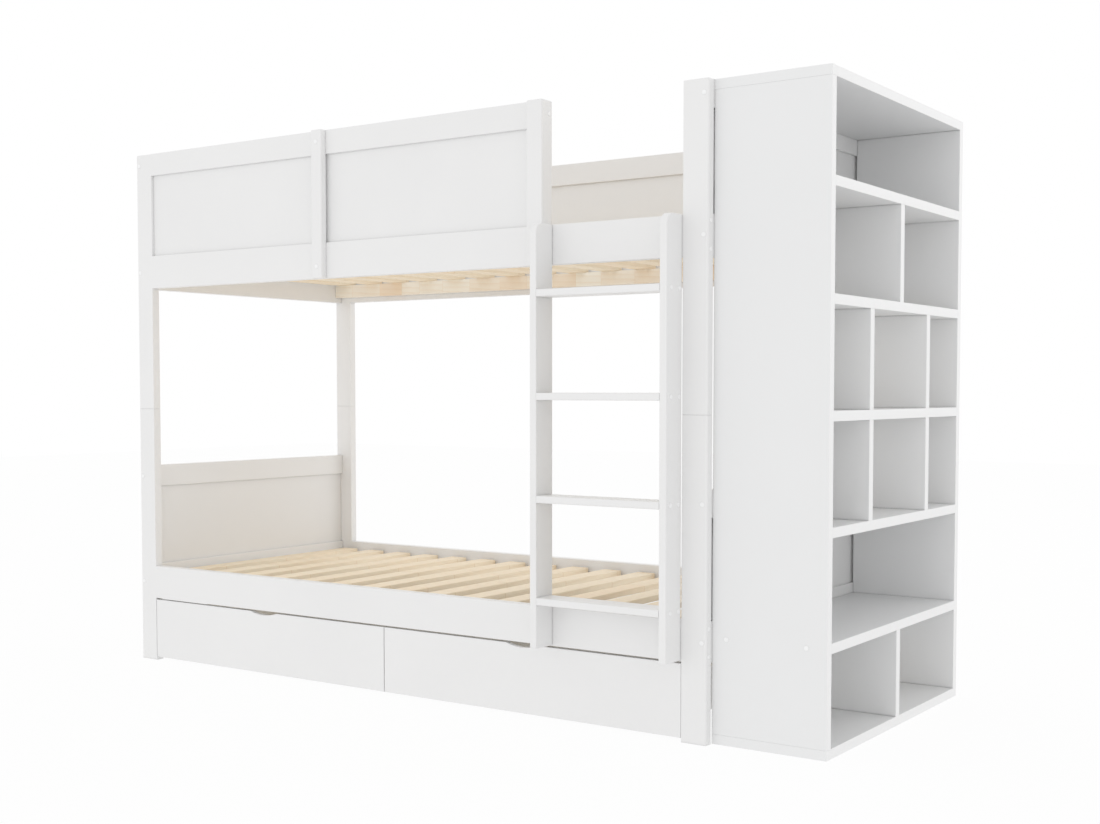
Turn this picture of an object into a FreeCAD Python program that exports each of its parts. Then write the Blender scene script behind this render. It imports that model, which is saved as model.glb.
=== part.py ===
import FreeCAD, Part
import os
from FreeCAD import Vector

# A bunk bed of painted boards with two slatted bases, a fixed ladder, two drawers that roll on the
# floor and an open bookcase across the foot end. X runs along the bed towards the bookcase, Y away
# from the ladder side, Z up. Lengths are millimetres, counted from the outer corner of the front
# left post at the floor. Each piece is moved to the middle of the floor plan when it is saved.

# Bed frame
bed_length = 2088.0
bed_width = 958.0
bed_height = 1630.0
board = 26.0
post_width = 70.0
post_join_height = 815.0
leg_height = 202.3
side_rail_height = 103.5
panel_height = 255.5
top_rail_height = 69.0
post_round = 5.0
post_back_round = 1.5
post_top_round = 3.0
post_join_round = 1.5
rail_round = 1.2

# Thin panels in grooves
panel_thickness = 8.0
groove_depth = 8.0
panel_play = 0.1
panel_edge_play = 0.3

# Front guard
guard_end_width = 50.0
stile_reach = 720.0
stile_width = 40.0
stile_proud = 20.0
stile_round = 4.0

# Slatted bases
ledger_height = 44.0
ledger_depth = 30.0
ledger_rise = 17.7
ledger_end_play = 0.3
slat_count = 16
slat_width = 64.0
slat_thickness = 18.0
slat_end_gap = 10.0
slat_first_gap = 18.0
slat_round = 2.0

# Ladder
ladder_width = 406.0
ladder_post_gap = 2.0
ladder_depth = 75.0
upright_thickness = 20.0
upright_top_round = 30.0
upright_foot_round = 6.0
upright_edge_round = 2.0
ladder_foot_rise = 2.7
rung_count = 4
rung_thickness = 19.0
rung_depth = 70.0
lowest_rung_rise = 133.4
highest_rung_drop = 171.0
rung_round = 3.0

# Bookcase
case_depth = 306.0
case_width = 902.0
case_inset = 30.0
case_board = 25.0
case_round = 1.0
shelf_count = 5
lowest_shelf_top = 276.5
top_row_clear = 227.0
divider_spread = 195.0

# Drawers
drawer_side_gap = 1.0
drawer_middle_gap = 2.0
drawer_top_gap = 5.0
drawer_floor_gap = 10.5
drawer_front_thickness = 18.0
drawer_front_round = 1.5
drawer_depth = 560.0
drawer_wall = 12.0
drawer_wall_drop = 43.0
drawer_wall_lift = 44.0
drawer_wall_round = 1.5
drawer_inset = 20.0
drawer_bottom_height = 52.0
drawer_bottom_thickness = 10.0
drawer_groove = 5.0
drawer_bottom_play = 0.15
finger_width = 110.0
finger_depth = 9.0

# Castors under the drawers
wheel_radius = 20.0
wheel_width = 16.0
wheel_round = 2.5
wheel_hub_radius = 8.0
wheel_rim_radius = 15.0
wheel_recess = 3.0
axle_radius = 3.0
axle_play = 0.05
castor_plate = 4.0
castor_cheek = 3.0
castor_side_play = 0.5
castor_cheek_radius = 9.0
castor_plate_length = 50.0
castor_plug_radius = 5.0
castor_plug_length = 7.0
castor_plug_play = 0.05
castor_inset = 70.0

# Bolts, inserts, screws, caps and dowels
bolt_radius = 3.0
bolt_head_radius = 5.0
bolt_head_height = 3.5
bolt_sink = 8.0
bolt_reach = 45.0
bolt_stop = 6.0
side_bolt_spread = 69.0
guard_bolt_drop = 20.0
stile_bolt_rise = 33.5
case_bolt_drop = 19.0
end_post_bolt_rise = 10.0
insert_radius = 5.0
insert_length = 20.0
thread_play = 0.05
screw_radius = 2.5
screw_head_radius = 4.5
screw_head_height = 3.0
screw_sink = 6.0
screw_reach = 35.0
rung_screw_front_inset = 22.0
rung_screw_back_inset = 8.0
shelf_screw_back_inset = 39.0
shelf_screw_front_inset = 54.0
hole_play = 0.25
cap_flange_radius = 6.0
cap_proud = 1.2
cap_plug = 1.8
cap_plug_play = 0.2
cap_round = 0.8
post_dowel_radius = 5.0
post_dowel_depth = 40.0
post_dowel_spread = 36.0
case_dowel_radius = 4.0
case_dowel_depth = 10.0
case_dowel_inset = 60.0
dowel_play = 0.05

# How far a cutting shape runs past the surface that it opens, and how near counts as the same place
overrun = 2.0
same_place = 0.001

# Places worked out from the sizes above
X = Vector(1, 0, 0)
Y = Vector(0, 1, 0)
Z = Vector(0, 0, 1)
frame_height = side_rail_height + panel_height + top_rail_height
levels = {"lower": leg_height, "upper": bed_height - frame_height}
groove_width = panel_thickness + 2 * panel_play
front_middle = board / 2
back_middle = bed_width - board / 2
rows = {"front": (0, front_middle), "back": (bed_width - board, back_middle)}
row_faces = {"front": (0, Y), "back": (bed_width, Y * -1)}
ends = {"left": (0, board / 2), "right": (bed_length - board, bed_length - board / 2)}
rail_left = post_width
rail_right = bed_length - post_width
ladder_right = rail_right - ladder_post_gap
ladder_left = ladder_right - ladder_width
guard_end = ladder_left - guard_end_width
case_left = bed_length
case_right = bed_length + case_depth
case_front = case_inset
case_back = case_inset + case_width

parts = {}


def block(x0, x1, y0, y1, z0, z1):
    return Part.makeBox(x1 - x0, y1 - y0, z1 - z0, Vector(x0, y0, z0))


def rod(start, direction, radius, length):
    return Part.makeCylinder(radius, length, start, direction)


def runs_along(edge, axis):
    return edge.tangentAt(edge.FirstParameter).cross(axis).Length < same_place


def lies_at(edge, axis, place):
    box = edge.BoundBox
    low = Vector(box.XMin, box.YMin, box.ZMin).dot(axis)
    high = Vector(box.XMax, box.YMax, box.ZMax).dot(axis)
    return abs(low - place) < same_place and abs(high - place) < same_place


def soften(solid, radius, chosen):
    return solid.makeFillet(radius, [edge for edge in solid.Edges if chosen(edge)])


def beam(axis, radius, *corners):
    """A board with its four long edges eased."""
    return soften(block(*corners), radius, lambda edge: runs_along(edge, axis))


def case_panel(*corners):
    """A board of the bookcase, eased on every edge so that its joints show as fine lines."""
    return soften(block(*corners), case_round, lambda edge: True)


def cut_from(name, tool):
    """Takes a tool away from every solid of a piece that it reaches."""
    kept = []
    for solid in parts[name]:
        near = solid.BoundBox.intersect(tool.BoundBox)
        kept += solid.cut(tool).Solids if near else [solid]
    parts[name] = kept


# Corner posts: two halves each, well rounded at the outer corner, the upper half eased round its top
for end in ends:
    post_left = 0 if end == "left" else rail_right
    outer_face = 0 if end == "left" else bed_length
    for row, (row_front, row_middle) in rows.items():
        row_face, row_inward = row_faces[row]
        row_back = row_face + row_inward.y * board
        for level, low, high in (("lower", 0, post_join_height), ("upper", post_join_height, bed_height)):
            post = block(post_left, post_left + post_width, row_front, row_front + board, low, high)
            for place, radius in ((row_face, post_round), (row_back, post_back_round)):
                post = soften(post, radius, lambda edge: lies_at(edge, X, outer_face) and lies_at(edge, Y, place))
            post = soften(post, post_join_round, lambda edge: lies_at(edge, Z, post_join_height))
            if level == "upper":
                post = soften(post, post_top_round, lambda edge: lies_at(edge, Z, bed_height))
            parts[f"{row}_{end}_{level}_post"] = [post]


# End frames: a bottom rail, a top rail and a thin panel held in grooves of the rails and the posts
for level, low in levels.items():
    panel_low = low + side_rail_height
    panel_high = panel_low + panel_height
    frame_top = panel_high + top_rail_height
    for end, (end_left, end_middle) in ends.items():
        rail_sides = (end_left, end_left + board, board, bed_width - board)
        groove = block(end_middle - groove_width / 2, end_middle + groove_width / 2,
                       board - groove_depth, bed_width - board + groove_depth,
                       panel_low - groove_depth, panel_high + groove_depth)
        parts[f"{level}_{end}_end_rails"] = [
            beam(Y, rail_round, *rail_sides, low, panel_low),
            beam(Y, rail_round, *rail_sides, panel_high, frame_top)]
        parts[f"{level}_{end}_end_panel"] = [block(
            end_middle - panel_thickness / 2, end_middle + panel_thickness / 2,
            board - groove_depth + panel_edge_play, bed_width - board + groove_depth - panel_edge_play,
            panel_low - groove_depth + panel_edge_play, panel_high + groove_depth - panel_edge_play)]
        for name in (f"{level}_{end}_end_rails", f"front_{end}_{level}_post", f"back_{end}_{level}_post"):
            cut_from(name, groove)


# Side rails between the posts, flush with their outer faces
for level, low in levels.items():
    for row, (row_front, row_middle) in rows.items():
        rail = beam(X, rail_round, rail_left, rail_right, row_front, row_front + board, low, low + side_rail_height)
        parts[f"{level}_{row}_rail"] = [rail]


# Guards: a top rail over a thin panel. The front one stops at the ladder, where an end post that is
# notched round the side rail carries it, and a proud stile stiffens its middle.
guard_low = levels["upper"] + side_rail_height
guard_high = guard_low + panel_height
for row, (row_front, row_middle) in rows.items():
    guard_right = guard_end if row == "front" else rail_right
    parts[f"{row}_guard_top_rail"] = [beam(X, rail_round, rail_left, guard_right, row_front, row_front + board,
                                           guard_high, bed_height)]
    parts[f"{row}_guard_panel"] = [block(
        rail_left - groove_depth + panel_edge_play, guard_right + groove_depth - panel_edge_play,
        row_middle - panel_thickness / 2, row_middle + panel_thickness / 2,
        guard_low - groove_depth + panel_edge_play, guard_high + groove_depth - panel_edge_play)]

end_post = block(guard_end, guard_end + guard_end_width, -stile_proud, board, levels["upper"], bed_height)
end_post = end_post.cut(block(guard_end - overrun, guard_end + guard_end_width + overrun, 0, board + overrun,
                              levels["upper"] - overrun, guard_low))
end_post = soften(end_post, stile_round, lambda edge: runs_along(edge, Z) and lies_at(edge, Y, -stile_proud))
end_post = soften(end_post, stile_round, lambda edge: lies_at(edge, Z, bed_height))
parts["front_guard_end_post"] = [end_post]

stile_left = rail_left + stile_reach
stile = block(stile_left, stile_left + stile_width, -stile_proud, 0, levels["upper"], bed_height)
stile = soften(stile, stile_round, lambda edge: runs_along(edge, Z) and lies_at(edge, Y, -stile_proud))
stile = soften(stile, rail_round, lambda edge: lies_at(edge, Z, bed_height))
parts["front_guard_stile"] = [stile]

for row, (row_front, row_middle) in rows.items():
    guard_right = guard_end if row == "front" else rail_right
    groove = block(rail_left - groove_depth, guard_right + groove_depth,
                   row_middle - groove_width / 2, row_middle + groove_width / 2,
                   guard_low - groove_depth, guard_high + groove_depth)
    right_holder = "front_guard_end_post" if row == "front" else "back_right_upper_post"
    for name in (f"{row}_guard_top_rail", f"upper_{row}_rail", f"{row}_left_upper_post", right_holder):
        cut_from(name, groove)


# Slatted bases: a ledger along each side rail, with slats laid across the two
slat_span = bed_length - 2 * (board + slat_first_gap) - slat_width
slat_pitch = slat_span / (slat_count - 1)
for level, low in levels.items():
    ledger_low = low + ledger_rise
    ledger_high = ledger_low + ledger_height
    ledger_ends = (board + ledger_end_play, bed_length - board - ledger_end_play)
    parts[f"{level}_slat_ledgers"] = [
        beam(X, rail_round, *ledger_ends, board, board + ledger_depth, ledger_low, ledger_high),
        beam(X, rail_round, *ledger_ends, bed_width - board - ledger_depth, bed_width - board,
             ledger_low, ledger_high)]
    parts[f"{level}_slats"] = []
    for number in range(slat_count):
        slat_left = board + slat_first_gap + number * slat_pitch
        parts[f"{level}_slats"].append(beam(
            Y, slat_round, slat_left, slat_left + slat_width, board + slat_end_gap,
            bed_width - board - slat_end_gap, ledger_high, ledger_high + slat_thickness))


# Ladder: two deep uprights against the faces of the side rails, beside the guard's end post
ladder_foot = levels["lower"] + ladder_foot_rise
ladder_top = guard_low
uprights = {"left": ladder_left, "right": ladder_right - upright_thickness}
for side, upright_left in uprights.items():
    upright_right = upright_left + upright_thickness
    upright = block(upright_left, upright_right, -ladder_depth, 0, ladder_foot, ladder_top)
    upright = soften(upright, upright_top_round,
                     lambda edge: lies_at(edge, Y, -ladder_depth) and lies_at(edge, Z, ladder_top))
    upright = soften(upright, upright_foot_round,
                     lambda edge: lies_at(edge, Y, -ladder_depth) and lies_at(edge, Z, ladder_foot))
    upright = soften(upright, upright_edge_round,
                     lambda edge: lies_at(edge, X, upright_left) or lies_at(edge, X, upright_right))
    parts[f"ladder_{side}_upright"] = [upright]

rung_pitch = (ladder_top - ladder_foot - lowest_rung_rise - highest_rung_drop) / (rung_count - 1)
rung_tops = [ladder_foot + lowest_rung_rise + number * rung_pitch for number in range(rung_count)]
rung_front = -ladder_depth
parts["ladder_rungs"] = [
    beam(X, rung_round, ladder_left + upright_thickness, ladder_right - upright_thickness,
         rung_front, rung_front + rung_depth, rung_top - rung_thickness, rung_top)
    for rung_top in rung_tops]


# Bookcase: top and bottom boards over two sides, five shelves and the dividers between them
case_inside_front = case_front + case_board
case_inside_back = case_back - case_board
case_middle = (case_front + case_back) / 2
side_heights = (case_board, bed_height - case_board)
whole_plan = (case_left, case_right, case_front, case_back)
parts["bookcase_bottom"] = [case_panel(*whole_plan, 0, case_board)]
parts["bookcase_top"] = [case_panel(*whole_plan, bed_height - case_board, bed_height)]
parts["bookcase_front_side"] = [case_panel(case_left, case_right, case_front, case_inside_front, *side_heights)]
parts["bookcase_back_side"] = [case_panel(case_left, case_right, case_inside_back, case_back, *side_heights)]

shelf_span = bed_height - case_board - top_row_clear - lowest_shelf_top
shelf_tops = [lowest_shelf_top + number * shelf_span / (shelf_count - 1) for number in range(shelf_count)]
parts["bookcase_shelves"] = [
    case_panel(case_left, case_right, case_inside_front, case_inside_back, top - case_board, top)
    for top in shelf_tops]

no_divider = ()
one_divider = (case_middle,)
two_dividers = (case_middle - divider_spread, case_middle + divider_spread)
row_dividers = (one_divider, no_divider, two_dividers, two_dividers, one_divider)
row_floors = [case_board] + shelf_tops
row_ceilings = [top - case_board for top in shelf_tops]
dividers = [(place, row_floor, row_ceiling)
            for places, row_floor, row_ceiling in zip(row_dividers, row_floors, row_ceilings)
            for place in places]
parts["bookcase_dividers"] = [
    case_panel(case_left, case_right, place - case_board / 2, place + case_board / 2, row_floor, row_ceiling)
    for place, row_floor, row_ceiling in dividers]


# Drawers: a front that fills half the space under the lower rail, a box behind it, and four castors
drawer_fronts_span = rail_right - rail_left - 2 * drawer_side_gap - drawer_middle_gap
drawer_front_width = drawer_fronts_span / 2
drawer_front_top = leg_height - drawer_top_gap
wall_low = drawer_wall_lift
wall_high = leg_height - drawer_wall_drop
wall_front = drawer_front_thickness
wall_back = drawer_front_thickness + drawer_depth
bottom_low = drawer_bottom_height
bottom_high = drawer_bottom_height + drawer_bottom_thickness
finger_radius = (finger_width ** 2 / 4 + finger_depth ** 2) / (2 * finger_depth)
fork_half_width = wheel_width / 2 + castor_side_play + castor_cheek


def castor(centre_x, centre_y):
    """A moulded fork with a stub axle for the wheel and a plug that is pressed into the drawer's bottom."""
    axle_centre = Vector(centre_x, centre_y, wheel_radius)
    plate_low = bottom_low - castor_plate
    fork = block(centre_x - fork_half_width, centre_x + fork_half_width, centre_y - castor_plate_length / 2,
                 centre_y + castor_plate_length / 2, plate_low, bottom_low)
    for side in (-1, 1):
        cheek_inner = centre_x + side * (wheel_width / 2 + castor_side_play)
        cheek_outer = centre_x + side * fork_half_width
        cheek_left = min(cheek_inner, cheek_outer)
        cheek = block(cheek_left, cheek_left + castor_cheek, centre_y - castor_cheek_radius,
                      centre_y + castor_cheek_radius, wheel_radius, plate_low)
        boss = rod(Vector(cheek_left, centre_y, wheel_radius), X, castor_cheek_radius, castor_cheek)
        fork = fork.fuse([cheek, boss])
    axle = rod(axle_centre - X * fork_half_width, X, axle_radius, 2 * fork_half_width)
    plug = rod(Vector(centre_x, centre_y, bottom_low), Z, castor_plug_radius, castor_plug_length)
    return fork.fuse([axle, plug]).removeSplitter().Solids[0]


def wheel(centre_x, centre_y):
    """A moulded wheel, recessed between hub and rim on both faces, with a running fit on its axle."""
    start = Vector(centre_x - wheel_width / 2, centre_y, wheel_radius)
    tread = rod(start, X, wheel_radius, wheel_width)
    tread = soften(tread, wheel_round, lambda edge: not runs_along(edge, X))
    for face, inward in ((start, X), (start + X * wheel_width, X * -1)):
        ring = rod(face - inward * overrun, inward, wheel_rim_radius, wheel_recess + overrun)
        ring = ring.cut(rod(face - inward * overrun, inward, wheel_hub_radius, wheel_recess + overrun))
        tread = tread.cut(ring)
    return tread.cut(rod(start - X * overrun, X, axle_radius + axle_play, wheel_width + 2 * overrun))


for side, front_left in (("left", rail_left + drawer_side_gap),
                         ("right", rail_right - drawer_side_gap - drawer_front_width)):
    front_right = front_left + drawer_front_width
    box_left = front_left + drawer_inset
    box_right = front_right - drawer_inset
    finger_centre = Vector((front_left + front_right) / 2, -overrun, drawer_front_top - finger_depth + finger_radius)
    front = block(front_left, front_right, 0, drawer_front_thickness, drawer_floor_gap, drawer_front_top)
    front = soften(front, drawer_front_round, lambda edge: lies_at(edge, Y, 0))
    front = front.cut(rod(finger_centre, Y, finger_radius, drawer_front_thickness + 2 * overrun))
    parts[f"{side}_drawer_front"] = front.Solids
    parts[f"{side}_drawer_walls"] = [
        beam(Y, drawer_wall_round, box_left, box_left + drawer_wall, wall_front, wall_back, wall_low, wall_high),
        beam(Y, drawer_wall_round, box_right - drawer_wall, box_right, wall_front, wall_back, wall_low, wall_high),
        beam(X, drawer_wall_round, box_left + drawer_wall, box_right - drawer_wall,
             wall_back - drawer_wall, wall_back, wall_low, wall_high)]
    bottom_groove = block(box_left + drawer_wall - drawer_groove, box_right - drawer_wall + drawer_groove,
                          wall_front - drawer_groove, wall_back - drawer_wall + drawer_groove,
                          bottom_low - drawer_bottom_play, bottom_high + drawer_bottom_play)
    for name in (f"{side}_drawer_front", f"{side}_drawer_walls"):
        cut_from(name, bottom_groove)
    parts[f"{side}_drawer_bottom"] = [block(
        box_left + drawer_wall - drawer_groove + drawer_bottom_play,
        box_right - drawer_wall + drawer_groove - drawer_bottom_play,
        wall_front - drawer_groove + drawer_bottom_play,
        wall_back - drawer_wall + drawer_groove - drawer_bottom_play, bottom_low, bottom_high)]
    castor_places = {
        "front_left": (box_left + castor_inset, wall_front + castor_inset),
        "front_right": (box_right - castor_inset, wall_front + castor_inset),
        "back_left": (box_left + castor_inset, wall_back - castor_inset),
        "back_right": (box_right - castor_inset, wall_back - castor_inset)}
    parts[f"{side}_drawer_castors"] = [castor(*place) for place in castor_places.values()]
    for corner, (wheel_x, wheel_y) in castor_places.items():
        parts[f"{side}_drawer_{corner}_wheel"] = [wheel(wheel_x, wheel_y)]
        plug_hole = rod(Vector(wheel_x, wheel_y, bottom_low - overrun), Z, castor_plug_radius + castor_plug_play,
                        castor_plug_length + castor_plug_play + overrun)
        cut_from(f"{side}_drawer_bottom", plug_hole)


# Fasteners: each call makes the fastener, drills the pieces that it joins and may cap its head
parts["frame_bolts"] = []
parts["threaded_inserts"] = []
parts["wood_screws"] = []
parts["bolt_caps"] = []
parts["wood_dowels"] = []
bolt_sizes = (bolt_radius, bolt_head_radius, bolt_head_height, bolt_sink)
screw_sizes = (screw_radius, screw_head_radius, screw_head_height, screw_sink)


def cap(face, inward, head_radius):
    """A round cover with a plug in the counterbore and a flange, eased at its rim, on the surface."""
    flange = rod(face - inward * cap_proud, inward, cap_flange_radius, cap_proud)
    rim = face - inward * cap_proud
    flange = soften(flange, cap_round,
                    lambda edge: not runs_along(edge, inward) and abs((edge.CenterOfMass - rim).dot(inward)) < same_place)
    return flange.fuse(rod(face, inward, head_radius + hole_play - cap_plug_play, cap_plug)).Solids[0]


def fasten(group, face, inward, length, joined, capped=True):
    """A fastener sunk into a face, with its head on the floor of its counterbore."""
    radius, head_radius, head_height, sink = bolt_sizes if group == "frame_bolts" else screw_sizes
    head = rod(face + inward * (sink - head_height), inward, head_radius, head_height)
    shank = rod(face + inward * (sink - head_height), inward, radius, length - sink + head_height)
    parts[group] += head.fuse(shank).removeSplitter().Solids
    counterbore = rod(face - inward * overrun, inward, head_radius + hole_play, sink + overrun)
    hole = counterbore.fuse(rod(face, inward, radius + hole_play, length + hole_play))
    for name in joined:
        cut_from(name, hole)
    if capped:
        parts["bolt_caps"].append(cap(face, inward, head_radius))


def bolt_joint(face, inward, grip, holder, rail):
    """A bolt through a post into a threaded insert in the end of a rail."""
    fasten("frame_bolts", face, inward, grip + bolt_reach, (holder, rail))
    rail_end = face + inward * grip
    cut_from(rail, rod(rail_end - inward * overrun, inward, insert_radius + thread_play, insert_length + overrun))
    sleeve = rod(rail_end, inward, insert_radius, insert_length)
    bore = rod(rail_end - inward * overrun, inward, bolt_radius + thread_play, insert_length + 2 * overrun)
    parts["threaded_inserts"] += sleeve.cut(bore).Solids


def dowel(centre, axis, radius, depth, joined):
    """A dowel that reaches equally far into the two pieces that it lines up."""
    hole = rod(centre - axis * (depth + dowel_play), axis, radius + dowel_play, 2 * (depth + dowel_play))
    for name in joined:
        cut_from(name, hole)
    parts["wood_dowels"].append(rod(centre - axis * depth, axis, radius, 2 * depth))


# The end rails and side rails are bolted through the posts, and the post halves are dowelled
for end, (end_left, end_middle) in ends.items():
    end_face, end_inward = (0, X) if end == "left" else (bed_length, X * -1)
    post_middle = end_face + end_inward.x * post_width / 2
    for row, (row_front, row_middle) in rows.items():
        row_face, row_inward = row_faces[row]
        for level, low in levels.items():
            post = f"{row}_{end}_{level}_post"
            top_rail_middle = low + frame_height - top_rail_height / 2
            rail_middle = low + side_rail_height / 2
            for height in (rail_middle, top_rail_middle):
                bolt_joint(Vector(end_middle, row_face, height), row_inward, board, post, f"{level}_{end}_end_rails")
            for height in (rail_middle - side_bolt_spread / 2, rail_middle + side_bolt_spread / 2):
                bolt_joint(Vector(end_face, row_middle, height), end_inward, post_width, post, f"{level}_{row}_rail")
        for offset in (-post_dowel_spread / 2, post_dowel_spread / 2):
            dowel(Vector(post_middle + offset, row_middle, post_join_height), Z, post_dowel_radius, post_dowel_depth,
                  (f"{row}_{end}_lower_post", f"{row}_{end}_upper_post"))

# The guards' top rails are bolted to the posts, below the bolts of the end rails
guard_rail_middle = bed_height - top_rail_height / 2
guard_bolt_height = guard_rail_middle - guard_bolt_drop
bolt_joint(Vector(0, front_middle, guard_bolt_height), X, post_width, "front_left_upper_post", "front_guard_top_rail")
bolt_joint(Vector(ladder_left, front_middle, guard_rail_middle), X * -1, guard_end_width,
           "front_guard_end_post", "front_guard_top_rail")
bolt_joint(Vector(0, back_middle, guard_bolt_height), X, post_width, "back_left_upper_post", "back_guard_top_rail")
bolt_joint(Vector(bed_length, back_middle, guard_bolt_height), X * -1, post_width,
           "back_right_upper_post", "back_guard_top_rail")

# The stile is bolted on from the front, the end post from behind the side rail
stile_middle = stile_left + stile_width / 2
short_bolt = stile_proud + board - bolt_stop
fasten("frame_bolts", Vector(stile_middle, -stile_proud, guard_rail_middle), Y, short_bolt,
       ("front_guard_stile", "front_guard_top_rail"))
fasten("frame_bolts", Vector(stile_middle, -stile_proud, levels["upper"] + stile_bolt_rise), Y, short_bolt,
       ("front_guard_stile", "upper_front_rail"))
for height in (levels["upper"] + end_post_bolt_rise, guard_low - end_post_bolt_rise):
    fasten("frame_bolts", Vector(guard_end + guard_end_width / 2, board, height), Y * -1, short_bolt,
           ("upper_front_rail", "front_guard_end_post"))

# The ladder is bolted on through the ledger and the side rail of each bed
for level, low in levels.items():
    for side, upright_left in uprights.items():
        face = Vector(upright_left + upright_thickness / 2, board + ledger_depth, low + ledger_rise + ledger_height / 2)
        fasten("frame_bolts", face, Y * -1, ledger_depth + board + bolt_reach,
               (f"{level}_slat_ledgers", f"{level}_front_rail", f"ladder_{side}_upright"), capped=False)

# Two screws hold each end of each rung
for rung_top in rung_tops:
    rung_middle = rung_top - rung_thickness / 2
    for place in (rung_front + rung_screw_front_inset, rung_front + rung_depth - rung_screw_back_inset):
        fasten("wood_screws", Vector(ladder_left, place, rung_middle), X, upright_thickness + screw_reach,
               ("ladder_left_upright", "ladder_rungs"))
        fasten("wood_screws", Vector(ladder_right, place, rung_middle), X * -1, upright_thickness + screw_reach,
               ("ladder_right_upright", "ladder_rungs"))

# The bookcase is bolted to the end rails, its lowest shelf is screwed, and dowels hold the rest
case_sides = {"front": (case_front, Y), "back": (case_back, Y * -1)}
dowel_places = (case_left + case_dowel_inset, case_right - case_dowel_inset)
for side, (side_face, side_inward) in case_sides.items():
    side_name = f"bookcase_{side}_side"
    side_middle = side_face + side_inward.y * case_board / 2
    shelf_end = side_face + side_inward.y * case_board
    for level, low in levels.items():
        height = low + frame_height - top_rail_height / 2 - case_bolt_drop
        fasten("frame_bolts", Vector(bed_length - board, side_middle, height), X, board + bolt_reach,
               (f"{level}_right_end_rails", side_name))
    for place in (case_left + shelf_screw_back_inset, case_right - shelf_screw_front_inset):
        fasten("wood_screws", Vector(place, side_face, lowest_shelf_top - case_board / 2), side_inward,
               case_board + screw_reach, (side_name, "bookcase_shelves"))
    for place in dowel_places:
        dowel(Vector(place, side_middle, case_board), Z, case_dowel_radius, case_dowel_depth,
              ("bookcase_bottom", side_name))
        dowel(Vector(place, side_middle, bed_height - case_board), Z, case_dowel_radius, case_dowel_depth,
              ("bookcase_top", side_name))
        for top in shelf_tops[1:]:
            dowel(Vector(place, shelf_end, top - case_board / 2), Y, case_dowel_radius, case_dowel_depth,
                  (side_name, "bookcase_shelves"))
for place, row_floor, row_ceiling in dividers:
    for along in dowel_places:
        for height in (row_floor, row_ceiling):
            dowel(Vector(along, place, height), Z, case_dowel_radius, case_dowel_depth,
                  ("bookcase_dividers", "bookcase_shelves", "bookcase_bottom"))


# The origin is on the floor, under the middle of the whole, caps included
plan_middle = Vector((case_right - cap_proud) / 2, (bed_width + cap_proud - ladder_depth) / 2, 0)
os.makedirs("parts", exist_ok=True)
for name, solids in parts.items():
    piece = Part.makeCompound(solids)
    piece.translate(plan_middle * -1)
    piece.exportStep(f"parts/{name}.step")
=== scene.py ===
import math

import bpy
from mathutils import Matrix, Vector


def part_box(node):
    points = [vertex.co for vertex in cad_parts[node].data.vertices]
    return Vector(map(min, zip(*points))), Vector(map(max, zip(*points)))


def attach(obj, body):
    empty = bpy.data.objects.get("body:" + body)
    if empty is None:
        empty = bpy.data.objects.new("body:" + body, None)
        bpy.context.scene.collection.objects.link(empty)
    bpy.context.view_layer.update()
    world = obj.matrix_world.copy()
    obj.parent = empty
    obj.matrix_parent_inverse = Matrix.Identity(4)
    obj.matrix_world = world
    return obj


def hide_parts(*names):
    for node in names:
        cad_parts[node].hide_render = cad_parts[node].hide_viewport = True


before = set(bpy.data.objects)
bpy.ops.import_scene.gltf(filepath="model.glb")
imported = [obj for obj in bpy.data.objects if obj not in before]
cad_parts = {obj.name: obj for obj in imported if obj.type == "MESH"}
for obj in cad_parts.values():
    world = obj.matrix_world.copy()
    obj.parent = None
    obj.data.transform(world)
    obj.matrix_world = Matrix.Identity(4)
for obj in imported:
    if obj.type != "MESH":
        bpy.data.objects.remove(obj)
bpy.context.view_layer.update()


# Corner posts, rails and guards: planed boards sprayed with satin white paint.
# The paint is thick enough to hide the colour of the wood, but its grain still shows
# as a faint relief along each board, under the fine orange peel of the spray.
def put(tree, kind, inputs=None, **settings):
    """Adds a node, with each input set to a value or linked from another node's socket."""
    made = tree.nodes.new(kind)
    for name, value in settings.items():
        setattr(made, name, value)
    for name, value in (inputs or {}).items():
        if isinstance(value, bpy.types.NodeSocket):
            tree.links.new(value, made.inputs[name])
        else:
            made.inputs[name].default_value = value
    return made


def calc(tree, operation, *values):
    """One step of arithmetic on numbers or sockets."""
    return put(tree, "ShaderNodeMath", dict(enumerate(values)), operation=operation).outputs[0]


def blend_colour(tree, factor, first, second):
    """The first colour where the factor is 0, and the second where it is 1."""
    mixed = put(tree, "ShaderNodeMix", {0: factor, 6: first, 7: second}, data_type="RGBA")
    return mixed.outputs[2]


def effect_group(name, inputs, outputs):
    """An empty shader node group with its named sockets, and its input and output nodes."""
    tree = bpy.data.node_groups.new(name, "ShaderNodeTree")
    for label, kind in inputs:
        tree.interface.new_socket(name=label, in_out="INPUT", socket_type=kind)
    for label, kind in outputs:
        tree.interface.new_socket(name=label, in_out="OUTPUT", socket_type=kind)
    return tree, tree.nodes.new("NodeGroupInput").outputs, tree.nodes.new("NodeGroupOutput").inputs


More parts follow.
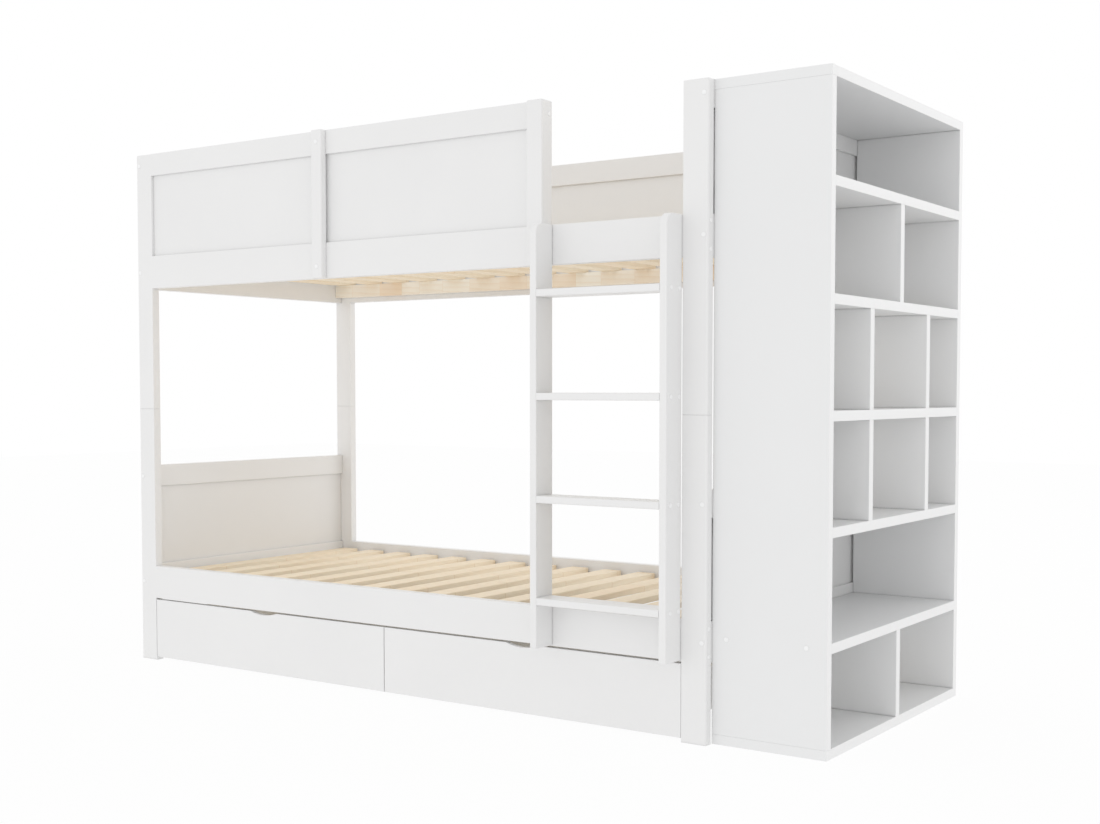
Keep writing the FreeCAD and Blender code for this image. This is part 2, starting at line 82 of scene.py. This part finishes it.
def sprayed_coat_group():
    """Paint or foil on a board: slow tone drift, grain along it, fine orange peel and painted shade darkening the
    corners where boards meet.
    """
    pore_sharpness = 2.0
    peel_roughness = 0.10
    pore_roughness = 0.12
    corner_shade_reach = 0.006
    corner_shade_grey = (0.25, 0.25, 0.25, 1.0)
    tree, given, result = effect_group(
        "sprayed coat",
        [("Place", "NodeSocketVector"), ("Along", "NodeSocketVector"), ("Paint", "NodeSocketColor"),
         ("Shade", "NodeSocketColor"), ("Gloss Roughness", "NodeSocketFloat"), ("Grain", "NodeSocketFloat"),
         ("Peel", "NodeSocketFloat"), ("Corner Shade", "NodeSocketFloat")],
        [("Color", "NodeSocketColor"), ("Roughness", "NodeSocketFloat"), ("Height", "NodeSocketFloat")])
    cloud = put(tree, "ShaderNodeTexNoise", {"Vector": given["Place"], "Scale": 4.0, "Detail": 3.0})
    grain = put(tree, "ShaderNodeTexNoise", {"Vector": given["Along"], "Scale": 9.0, "Detail": 4.0,
                                             "Roughness": 0.6, "Distortion": 0.4})
    peel = put(tree, "ShaderNodeTexNoise", {"Vector": given["Place"], "Scale": 420.0, "Detail": 2.0})
    pores = calc(tree, "POWER", grain.outputs[0], pore_sharpness)
    drift = put(tree, "ShaderNodeMapRange", {"Value": cloud.outputs[0], "From Min": 0.3, "From Max": 0.7})
    toned = blend_colour(tree, drift.outputs[0], given["Paint"], given["Shade"])
    pore_mask = calc(tree, "MULTIPLY", pores, given["Grain"])
    pored = blend_colour(tree, pore_mask, toned, given["Shade"])
    # Painted shade: an occlusion test greys the colour in the corners where boards meet, standing in for the
    # shade that falls there.
    corner = put(tree, "ShaderNodeAmbientOcclusion", {"Distance": corner_shade_reach}, samples=4)
    joint_and_corner_shade = put(tree, "ShaderNodeMapRange", {"Value": corner.outputs["AO"], "From Min": 0.5, "From Max": 0.85,
                                             "To Min": given["Corner Shade"], "To Max": 0.0})
    tree.links.new(blend_colour(tree, joint_and_corner_shade.outputs[0], pored, corner_shade_grey), result["Color"])
    uneven = calc(tree, "MULTIPLY_ADD", peel.outputs[0], peel_roughness, given["Gloss Roughness"])
    tree.links.new(calc(tree, "MULTIPLY_ADD", pores, pore_roughness, uneven), result["Roughness"])
    peel_height = calc(tree, "MULTIPLY", peel.outputs[0], given["Peel"])
    tree.links.new(calc(tree, "MULTIPLY_ADD", pores, given["Grain"], peel_height), result["Height"])
    return tree


sprayed_coat = sprayed_coat_group()
across_grain = 34.0
grain_stretch = {"X": (1.0, across_grain, across_grain), "Y": (across_grain, 1.0, across_grain),
                 "Z": (across_grain, across_grain, 1.0)}
coat_specular = 0.42
# How far the painted shade in the corners darkens the paint.
paint_corner_shade = 0.26


def start_material(name):
    """A new material with its node tree, its shader and the place of each point in the frame."""
    material = bpy.data.materials.new(name)
    material.use_nodes = True
    tree = material.node_tree
    place = put(tree, "ShaderNodeTexCoord").outputs["Object"]
    return material, tree, tree.nodes["Principled BSDF"], place


def relief(tree, shader, height, depth):
    """Bump of a real depth in metres."""
    bump = put(tree, "ShaderNodeBump", {"Height": height, "Strength": 1.0, "Distance": depth})
    tree.links.new(bump.outputs["Normal"], shader.inputs["Normal"])


def coated_board(name, along, paint, shade, roughness, grain, peel, depth, corner_shade=paint_corner_shade):
    """A white board whose grain runs along one axis."""
    material, tree, shader, place = start_material(name)
    stretched = put(tree, "ShaderNodeMapping", {"Vector": place, "Scale": grain_stretch[along]})
    coat = put(tree, "ShaderNodeGroup",
               {"Place": place, "Along": stretched.outputs[0], "Paint": (*paint, 1.0), "Shade": (*shade, 1.0),
                "Gloss Roughness": roughness, "Grain": grain, "Peel": peel, "Corner Shade": corner_shade},
               node_tree=sprayed_coat)
    tree.links.new(coat.outputs["Color"], shader.inputs["Base Color"])
    tree.links.new(coat.outputs["Roughness"], shader.inputs["Roughness"])
    shader.inputs["Specular IOR Level"].default_value = coat_specular
    relief(tree, shader, coat.outputs["Height"], depth)
    return material


def finish(material, *names):
    """Gives a material to the CAD nodes of those names."""
    for name in names:
        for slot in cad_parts[name].material_slots:
            slot.material = material


satin_paint = (0.862, 0.860, 0.858)
satin_shade = (0.847, 0.845, 0.844)
satin_relief = {"grain": 0.22, "peel": 0.25, "depth": 0.00035}
painted = {along: coated_board("satin white paint along " + along, along, satin_paint, satin_shade,
                               roughness=0.36, **satin_relief)
           for along in grain_stretch}
rows = ("front", "back")
ends = ("left", "right")
levels = ("lower", "upper")
finish(painted["Z"], *[f"{row}_{end}_{level}_post" for row in rows for end in ends for level in levels])
finish(painted["Z"], "front_guard_stile", "front_guard_end_post")
finish(painted["X"], *[f"{level}_{row}_rail" for level in levels for row in rows])
finish(painted["X"], *[f"{row}_guard_top_rail" for row in rows])
finish(painted["Y"], *[f"{level}_{end}_end_rails" for level in levels for end in ends])


# Thin panels in the ends and the guards: fibreboard, painted with the same white.
# Pressed board has no grain, so only the fine peel of the roller and a softer gloss remain.
panel_white = (0.860, 0.858, 0.856)
panel_shade = (0.842, 0.841, 0.840)
panel_paint = coated_board("white paint on fibreboard", "X", panel_white, panel_shade,
                           roughness=0.42, grain=0.05, peel=0.4, depth=0.0003)
finish(panel_paint, *[f"{level}_{end}_end_panel" for level in levels for end in ends])
finish(panel_paint, *[f"{row}_guard_panel" for row in rows])


# Ledgers along the side rails: bare pine of short blocks, glued end to end with finger joints.
# Each block was cut from another board, so its tone and its rings change at every joint.
def pine_grain_group():
    """Planed pine with its grain along X of the given place, in blocks with finger joints between them."""
    finger_width = 0.0019
    finger_slope = 4.5
    blocks_per_seed = 37.0
    block_spread = {"Scale": 1.0, "Randomness": 0.85}
    block_shift = 0.9
    seed_shift_y = 2.3
    seed_shift_z = 1.7
    grain_stretched = 0.05
    ring_sharpness = 3.0
    fibre_share = 0.5
    fibre_least = 0.2
    pale_bias = 1.6
    latewood_share = 0.55
    fibre_roughness = 0.2
    planed_roughness = 0.5
    latewood_sink = -0.7
    tree, given, result = effect_group(
        "pine grain",
        [("Place", "NodeSocketVector"), ("Seed", "NodeSocketFloat"), ("Block Length", "NodeSocketFloat"),
         ("Pale", "NodeSocketColor"), ("Warm", "NodeSocketColor"), ("Latewood", "NodeSocketColor")],
        [("Color", "NodeSocketColor"), ("Roughness", "NodeSocketFloat"), ("Height", "NodeSocketFloat")])
    parts = put(tree, "ShaderNodeSeparateXYZ", {0: given["Place"]})
    finger = calc(tree, "PINGPONG", parts.outputs["Y"], finger_width)
    reach = calc(tree, "MULTIPLY_ADD", finger, finger_slope, parts.outputs["X"])
    blocks = calc(tree, "DIVIDE", reach, given["Block Length"])
    blocks = calc(tree, "MULTIPLY_ADD", given["Seed"], blocks_per_seed, blocks)
    block = put(tree, "ShaderNodeTexVoronoi", {"W": blocks, **block_spread}, voronoi_dimensions="1D")
    joint_and_corner_shade = put(tree, "ShaderNodeTexVoronoi", {"W": blocks, **block_spread}, voronoi_dimensions="1D",
                feature="DISTANCE_TO_EDGE")
    drawn_red, drawn_green, drawn_blue = put(tree, "ShaderNodeSeparateColor", {0: block.outputs["Color"]}).outputs
    shift_y = calc(tree, "MULTIPLY_ADD", drawn_green, block_shift,
                   calc(tree, "MULTIPLY", given["Seed"], seed_shift_y))
    shift_z = calc(tree, "MULTIPLY_ADD", drawn_blue, block_shift,
                   calc(tree, "MULTIPLY", given["Seed"], seed_shift_z))
    across = put(tree, "ShaderNodeCombineXYZ", {
        "X": calc(tree, "MULTIPLY", parts.outputs["X"], grain_stretched),
        "Y": calc(tree, "ADD", parts.outputs["Y"], shift_y),
        "Z": calc(tree, "ADD", parts.outputs["Z"], shift_z)})
    rings = put(tree, "ShaderNodeTexWave", {"Vector": across.outputs[0], "Scale": 34.0, "Distortion": 3.2,
                                            "Detail": 2.0, "Detail Scale": 1.4},
                wave_type="BANDS", bands_direction="DIAGONAL", wave_profile="SAW")
    fibre = put(tree, "ShaderNodeTexNoise", {"Vector": across.outputs[0], "Scale": 620.0, "Detail": 3.0})
    late = calc(tree, "POWER", rings.outputs["Fac"], ring_sharpness)
    late = calc(tree, "MULTIPLY", late, calc(tree, "MULTIPLY_ADD", fibre.outputs[0], fibre_share, fibre_least))
    board_tone = blend_colour(tree, calc(tree, "POWER", drawn_red, pale_bias), given["Pale"], given["Warm"])
    grained = blend_colour(tree, calc(tree, "MULTIPLY", late, latewood_share), board_tone, given["Latewood"])
    near_joint = put(tree, "ShaderNodeMapRange", {"Value": joint_and_corner_shade.outputs["Distance"], "From Min": 0.002,
                                                  "From Max": 0.008, "To Min": 0.45, "To Max": 0.0})
    tree.links.new(blend_colour(tree, near_joint.outputs[0], grained, given["Latewood"]), result["Color"])
    tree.links.new(calc(tree, "MULTIPLY_ADD", fibre.outputs[0], fibre_roughness, planed_roughness),
                   result["Roughness"])
    tree.links.new(calc(tree, "MULTIPLY_ADD", late, latewood_sink, fibre.outputs[0]), result["Height"])
    return tree


pine_grain = pine_grain_group()
wood_specular = 0.35
wood_depth = 0.0003


def bare_wood(name, block_length, pale, warm, latewood, turn=0.0, seed=0.0, seed_from=None):
    """Unpainted wood. The turn about Z lays its grain along the piece."""
    material, tree, shader, place = start_material(name)
    laid = put(tree, "ShaderNodeMapping", {"Vector": place, "Rotation": (0.0, 0.0, turn)})
    if seed_from:
        seed = put(tree, "ShaderNodeAttribute", attribute_name=seed_from).outputs["Fac"]
    wood = put(tree, "ShaderNodeGroup",
               {"Place": laid.outputs[0], "Seed": seed, "Block Length": block_length, "Pale": (*pale, 1.0),
                "Warm": (*warm, 1.0), "Latewood": (*latewood, 1.0)},
               node_tree=pine_grain)
    tree.links.new(wood.outputs["Color"], shader.inputs["Base Color"])
    tree.links.new(wood.outputs["Roughness"], shader.inputs["Roughness"])
    shader.inputs["Specular IOR Level"].default_value = wood_specular
    relief(tree, shader, wood.outputs["Height"], wood_depth)
    return material


pine_late = (0.78, 0.58, 0.37)
ledger_block = 0.11
ledger_pale = (0.975, 0.935, 0.84)
ledger_warm = (0.90, 0.71, 0.52)
ledger_seed = 0.91
ledger_pine = bare_wood("finger-jointed pine ledger", ledger_block, ledger_pale, ledger_warm, pine_late,
                        seed=ledger_seed)
finish(ledger_pine, *[f"{level}_slat_ledgers" for level in levels])


# Slats: planed pine laths laid across the ledgers of each bed, with their long edges eased.
# Every lath is its own length of jointed pine, so each one draws its own tone and grain.
slat_width = 0.064
slat_ease = 0.002
slat_count = 16
slat_block = 0.31
slat_pale = (0.950, 0.842, 0.670)
slat_warm = (0.942, 0.800, 0.610)
quarter_turn = math.pi / 2
lowest_seed = 3
slat_pine = bare_wood("planed pine slat", slat_block, slat_pale, slat_warm, pine_late,
                      turn=quarter_turn, seed_from="slat_seed")


def slat_row_tree():
    """A row of eased laths along X, each with a seed of its own."""
    tree = bpy.data.node_groups.new("slat row", "GeometryNodeTree")
    wanted = (("Count", "NodeSocketInt"), ("Pitch", "NodeSocketFloat"), ("Length", "NodeSocketFloat"),
              ("Width", "NodeSocketFloat"), ("Thickness", "NodeSocketFloat"), ("Ease", "NodeSocketFloat"),
              ("First", "NodeSocketVector"), ("Seed", "NodeSocketInt"), ("Finish", "NodeSocketMaterial"))
    tree.interface.new_socket(name="Geometry", in_out="INPUT", socket_type="NodeSocketGeometry")
    for label, kind in wanted:
        tree.interface.new_socket(name=label, in_out="INPUT", socket_type=kind)
    tree.interface.new_socket(name="Geometry", in_out="OUTPUT", socket_type="NodeSocketGeometry")
    given = tree.nodes.new("NodeGroupInput").outputs
    far_end = put(tree, "ShaderNodeCombineXYZ", {"Y": given["Length"]})
    spine = put(tree, "GeometryNodeCurvePrimitiveLine", {"End": far_end.outputs[0]})
    section = put(tree, "GeometryNodeCurvePrimitiveQuadrilateral",
                  {"Width": given["Width"], "Height": given["Thickness"]})
    eased = put(tree, "GeometryNodeFilletCurve", {"Curve": section.outputs[0], "Count": 4,
                                                  "Radius": given["Ease"]}, mode="POLY")
    lath = put(tree, "GeometryNodeCurveToMesh", {"Curve": spine.outputs[0], "Profile Curve": eased.outputs[0],
                                                 "Fill Caps": True})
    step = put(tree, "ShaderNodeCombineXYZ", {"X": given["Pitch"]})
    places = put(tree, "GeometryNodeMeshLine", {"Count": given["Count"], "Start Location": given["First"],
                                                "Offset": step.outputs[0]})
    laid = put(tree, "GeometryNodeInstanceOnPoints", {"Points": places.outputs[0], "Instance": lath.outputs[0]})
    draw = put(tree, "FunctionNodeRandomValue", {"Seed": given["Seed"]}, data_type="FLOAT")
    seeded = put(tree, "GeometryNodeStoreNamedAttribute",
                 {"Geometry": laid.outputs[0], "Name": "slat_seed", "Value": draw.outputs[1]},
                 data_type="FLOAT", domain="INSTANCE")
    real = put(tree, "GeometryNodeRealizeInstances", {"Geometry": seeded.outputs[0]})
    coated = put(tree, "GeometryNodeSetMaterial", {"Geometry": real.outputs[0], "Material": given["Finish"]})
    put(tree, "NodeGroupOutput", {"Geometry": coated.outputs[0]})
    return tree


def grown(name, tree, settings):
    """The plain mesh object that a tree makes with those settings."""
    holder = bpy.data.objects.new(name + "_maker", bpy.data.meshes.new(name + "_maker"))
    bpy.context.scene.collection.objects.link(holder)
    maker = holder.modifiers.new("maker", "NODES")
    maker.node_group = tree
    for socket in tree.interface.items_tree:
        if socket.in_out == "INPUT" and socket.name in settings:
            maker[socket.identifier] = settings[socket.name]
    bpy.context.view_layer.update()
    evaluated = holder.evaluated_get(bpy.context.evaluated_depsgraph_get())
    mesh = bpy.data.meshes.new_from_object(evaluated)
    mesh.name = name
    bpy.data.objects.remove(holder)
    piece = bpy.data.objects.new(name, mesh)
    bpy.context.scene.collection.objects.link(piece)
    return piece


slat_row = slat_row_tree()
for number, level in enumerate(levels):
    low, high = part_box(f"{level}_slats")
    settings = {"Count": slat_count, "Pitch": (high.x - low.x - slat_width) / (slat_count - 1),
                "Length": high.y - low.y, "Width": slat_width, "Thickness": high.z - low.z, "Ease": slat_ease,
                "First": (low.x + slat_width / 2, low.y, (low.z + high.z) / 2), "Seed": lowest_seed + number,
                "Finish": slat_pine}
    slats = grown(f"{level}_pine_slats", slat_row, settings)
    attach(slats, "bed")
    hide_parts(f"{level}_slats")


# Ladder: two deep uprights bolted to the side rails, with four rungs screwed between them.
# It has the same satin paint as the frame, a little glossier where hands and feet rub the rungs.
rung_paint = coated_board("satin white paint on rungs", "X", satin_paint, satin_shade,
                          roughness=0.30, **satin_relief)
finish(painted["Z"], "ladder_left_upright", "ladder_right_upright")
finish(rung_paint, "ladder_rungs")


# Bookcase: chipboard covered with white foil, its boards dowelled together and bolted to the end rails.
# Foil is smoother than paint: no grain stands out, only a very fine print of the press plate.
# The lying boards carry painted shade: their foil is set darker inside the case. The whiter tape on the raw front
# edges is partly painted light.
def faced(material, *skins):
    """The material with another white on each face of the case that lies past a limit along an axis."""
    tree = material.node_tree
    colour = tree.nodes["Principled BSDF"].inputs["Base Color"]
    place = put(tree, "ShaderNodeTexCoord").outputs["Object"]
    reach = put(tree, "ShaderNodeSeparateXYZ", {0: place}).outputs
    for axis, side, limit, white in skins:
        on_skin = calc(tree, side, reach[axis], limit)
        tree.links.new(blend_colour(tree, on_skin, colour.links[0].from_socket, (*white, 1.0)), colour)
    return material


side_foil = (0.849, 0.852, 0.854)
side_shade = (0.841, 0.844, 0.846)
# Painted shade: the lying boards' foil is set darker than the uprights', so shelves, top and bottom look shaded
# inside the case.
board_foil_painted_shade = (0.800, 0.803, 0.805)
board_drift_painted_shade = (0.792, 0.795, 0.797)
foil_relief = {"grain": 0.08, "peel": 0.55, "depth": 0.0002}
# The foil takes a stronger painted shade in its corners than the paint does.
foil_look = {"roughness": 0.40, "corner_shade": 0.4, **foil_relief}
# The tape is set whiter than the foil, and part of that whiteness is painted light on the faces turned to the
# open front.
tape_white_and_painted_light = (0.87, 0.87, 0.87)
skin_thickness = 0.001
case_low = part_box("bookcase_bottom")[0]
case_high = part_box("bookcase_top")[1]
front_tape = ("X", "GREATER_THAN", case_high.x - skin_thickness, tape_white_and_painted_light)
# The outer faces of the top and bottom keep the uprights' white, free of the painted shade.
outer_skins = [skin for axis in ("y", "z") for skin in (
    (axis.upper(), "LESS_THAN", getattr(case_low, axis) + skin_thickness, side_foil),
    (axis.upper(), "GREATER_THAN", getattr(case_high, axis) - skin_thickness, side_foil))]
upright_foil = faced(coated_board("white foil on uprights", "Z", side_foil, side_shade, **foil_look),
                     front_tape)
lying_foil_painted_shade = faced(coated_board("white foil on lying boards with painted shade", "Y", board_foil_painted_shade, board_drift_painted_shade, **foil_look),
                   *outer_skins, front_tape)
finish(upright_foil, "bookcase_front_side", "bookcase_back_side", "bookcase_dividers")
finish(lying_foil_painted_shade, "bookcase_top", "bookcase_bottom", "bookcase_shelves")


# Drawers: painted fronts on boxes of thin white board, open at the top.
# The board of the boxes is plainer and duller than the fronts, because it only shows when they roll out.
drawer_white = (0.84, 0.84, 0.825)
drawer_shade = (0.81, 0.81, 0.80)
drawer_foil = coated_board("plain white drawer board", "Y", drawer_white, drawer_shade,
                           roughness=0.5, grain=0.1, peel=0.5, depth=0.00025)
finish(painted["X"], *[f"{end}_drawer_front" for end in ends])
finish(drawer_foil, *[f"{end}_drawer_{piece}" for end in ends for piece in ("walls", "bottom")])


# Castors: moulded nylon forks pressed into the drawer's bottom, with wheels that turn on stub axles.
# The mould leaves a fine spark-eroded texture on the forks, and the treads are scuffed by the floor.
def moulded_plastic(name, colour, worn, roughness, scuff_scale):
    """Plastic with the fine texture of its mould, and soft scuffs of a worn colour."""
    texture_roughness = 0.2
    texture_depth = 0.0001
    material, tree, shader, place = start_material(name)
    texture = put(tree, "ShaderNodeTexNoise", {"Vector": place, "Scale": 1400.0, "Detail": 2.0})
    scuffs = put(tree, "ShaderNodeTexNoise", {"Vector": place, "Scale": scuff_scale, "Detail": 4.0})
    rubbed = put(tree, "ShaderNodeMapRange", {"Value": scuffs.outputs[0], "From Min": 0.45, "From Max": 0.75})
    base = blend_colour(tree, rubbed.outputs[0], (*colour, 1.0), (*worn, 1.0))
    tree.links.new(base, shader.inputs["Base Color"])
    tree.links.new(calc(tree, "MULTIPLY_ADD", texture.outputs[0], texture_roughness, roughness),
                   shader.inputs["Roughness"])
    relief(tree, shader, texture.outputs[0], texture_depth)
    return material


fork_grey = (0.035, 0.035, 0.038)
fork_worn = (0.06, 0.06, 0.062)
wheel_grey = (0.10, 0.10, 0.105)
wheel_worn = (0.19, 0.185, 0.18)
fork_nylon = moulded_plastic("dark grey moulded nylon", fork_grey, fork_worn, roughness=0.42, scuff_scale=60.0)
wheel_nylon = moulded_plastic("grey wheel tread", wheel_grey, wheel_worn, roughness=0.5, scuff_scale=110.0)
corners = [f"{row}_{end}" for row in rows for end in ends]
finish(fork_nylon, *[f"{end}_drawer_castors" for end in ends])
finish(wheel_nylon, *[f"{end}_drawer_{corner}_wheel" for end in ends for corner in corners])


# Fasteners: zinc-plated bolts, inserts and screws, beech dowels in the joints, white caps over the heads.
# Only the caps show. They are moulded in a cooler, glossier white than the paint around them.
def zinc_plate():
    """Bright zinc with a fine spangle in its tone and its gloss."""
    spangle_roughness = 0.25
    least_roughness = 0.25
    material, tree, shader, place = start_material("bright zinc")
    spangle = put(tree, "ShaderNodeTexVoronoi", {"Vector": place, "Scale": 700.0}).outputs["Distance"]
    shade = put(tree, "ShaderNodeMapRange", {"Value": spangle, "To Min": 0.5, "To Max": 0.72}).outputs[0]
    tone = put(tree, "ShaderNodeCombineColor", {0: shade, 1: shade, 2: shade})
    tree.links.new(tone.outputs[0], shader.inputs["Base Color"])
    tree.links.new(calc(tree, "MULTIPLY_ADD", spangle, spangle_roughness, least_roughness),
                   shader.inputs["Roughness"])
    shader.inputs["Metallic"].default_value = 1.0
    return material


finish(zinc_plate(), "frame_bolts", "threaded_inserts", "wood_screws")
dowel_block = 0.5
beech_pale = (0.66, 0.45, 0.29)
beech_warm = (0.58, 0.38, 0.23)
beech_late = (0.40, 0.24, 0.13)
finish(bare_wood("fluted beech dowel", dowel_block, beech_pale, beech_warm, beech_late), "wood_dowels")
cap_white = (0.93, 0.932, 0.935)
cap_worn = (0.915, 0.917, 0.92)
finish(moulded_plastic("white cap plastic", cap_white, cap_worn, roughness=0.22, scuff_scale=90.0), "bolt_caps")


# Studio: a lit white floor under a white dome that fades a little towards the bookcase side.
# The floor shines back almost as much light as the dome, so that undersides and corners stay pale.
# A broad lamp behind the bed and a weaker one in front of it give the boards their soft direction.
def seen_plainly(tree):
    """One for rays that see the background as it is: from the camera, off gloss or through glass."""
    rays = put(tree, "ShaderNodeLightPath").outputs
    seen = calc(tree, "MAXIMUM", rays["Is Camera Ray"], rays["Is Glossy Ray"])
    return calc(tree, "MAXIMUM", seen, rays["Is Transmission Ray"])


floor_half = 14.0
floor_seen = 0.95
floor_bounce = 0.7
floor_albedo = (0.86, 0.86, 0.855, 1.0)
floor_corners = [(x * floor_half, y * floor_half, 0.0) for x, y in ((-1, -1), (1, -1), (1, 1), (-1, 1))]
floor_mesh = bpy.data.meshes.new("floor")
floor_mesh.from_pydata(floor_corners, [], [(0, 1, 2, 3)])
floor = bpy.data.objects.new("floor", floor_mesh)
bpy.context.scene.collection.objects.link(floor)
floor_material, tree, shader, _ = start_material("pale floor")
shader.inputs["Base Color"].default_value = floor_albedo
shader.inputs["Roughness"].default_value = 0.9
shader.inputs["Specular IOR Level"].default_value = 0.1
glow = put(tree, "ShaderNodeEmission", {"Strength": 1.0})
share = put(tree, "ShaderNodeMapRange", {"Value": seen_plainly(tree), "To Min": floor_bounce,
                                         "To Max": floor_seen})
lit = put(tree, "ShaderNodeMixShader", {0: share.outputs[0], 1: shader.outputs[0], 2: glow.outputs[0]})
tree.links.new(lit.outputs[0], tree.nodes["Material Output"].inputs["Surface"])
floor_mesh.materials.append(floor_material)

dome_strength = 0.96
dome_case_strength = 0.90
world = bpy.data.worlds.new("white dome")
world.use_nodes = True
tree = world.node_tree
direction = put(tree, "ShaderNodeTexCoord").outputs["Generated"]
towards_case = put(tree, "ShaderNodeSeparateXYZ", {0: direction}).outputs["X"]
fading = put(tree, "ShaderNodeMapRange",
             {"Value": towards_case, "To Min": dome_strength, "To Max": dome_case_strength})
strength = put(tree, "ShaderNodeMapRange", {"Value": seen_plainly(tree), "To Min": fading.outputs[0],
                                            "To Max": 1.0})
tree.links.new(strength.outputs[0], tree.nodes["Background"].inputs["Strength"])
tree.nodes["Background"].inputs["Color"].default_value = (1.0, 1.0, 1.0, 1.0)
bpy.context.scene.world = world


def soft_lamp(name, place, aim, size, power):
    """A round lamp of that many metres and watts, turned towards its aim."""
    lamp = bpy.data.lights.new(name, "AREA")
    lamp.shape = "DISK"
    lamp.size = size
    lamp.energy = power
    holder = bpy.data.objects.new(name, lamp)
    holder.location = place
    holder.rotation_euler = (Vector(aim) - Vector(place)).to_track_quat("-Z", "Y").to_euler()
    bpy.context.scene.collection.objects.link(holder)


soft_lamp("back lamp", place=(4.0, 5.5, 2.6), aim=(0.0, 0.0, 0.5), size=4.0, power=28.0)
soft_lamp("front lamp", place=(-2.5, -6.5, 1.8), aim=(0.0, 0.0, 0.8), size=4.0, power=10.0)
bpy.context.scene.view_settings.view_transform = "Standard"


# Camera: about 0.9 m above the floor, in front of the ladder end, as the photograph was taken.
# Its lens is worked out for a frame of 1100 by 824 pixels, and shifted up so that upright edges stay nearly
# upright.
image_width = 1100.0
focal_pixels = 1450.3
principal_drop = 45.0
camera_place = (2.5836, -3.5676, 0.8771)
camera_tilt = math.radians(90.0 - 2.66)
camera_turn = math.radians(34.62)
lens = bpy.data.cameras.new("camera")
lens.sensor_width = 36.0
lens.lens = focal_pixels / image_width * lens.sensor_width
lens.shift_y = principal_drop / image_width
lens.clip_end = 60.0
camera = bpy.data.objects.new("camera", lens)
camera.location = camera_place
camera.rotation_euler = (camera_tilt, 0.0, camera_turn)
bpy.context.scene.collection.objects.link(camera)
bpy.context.scene.camera = camera
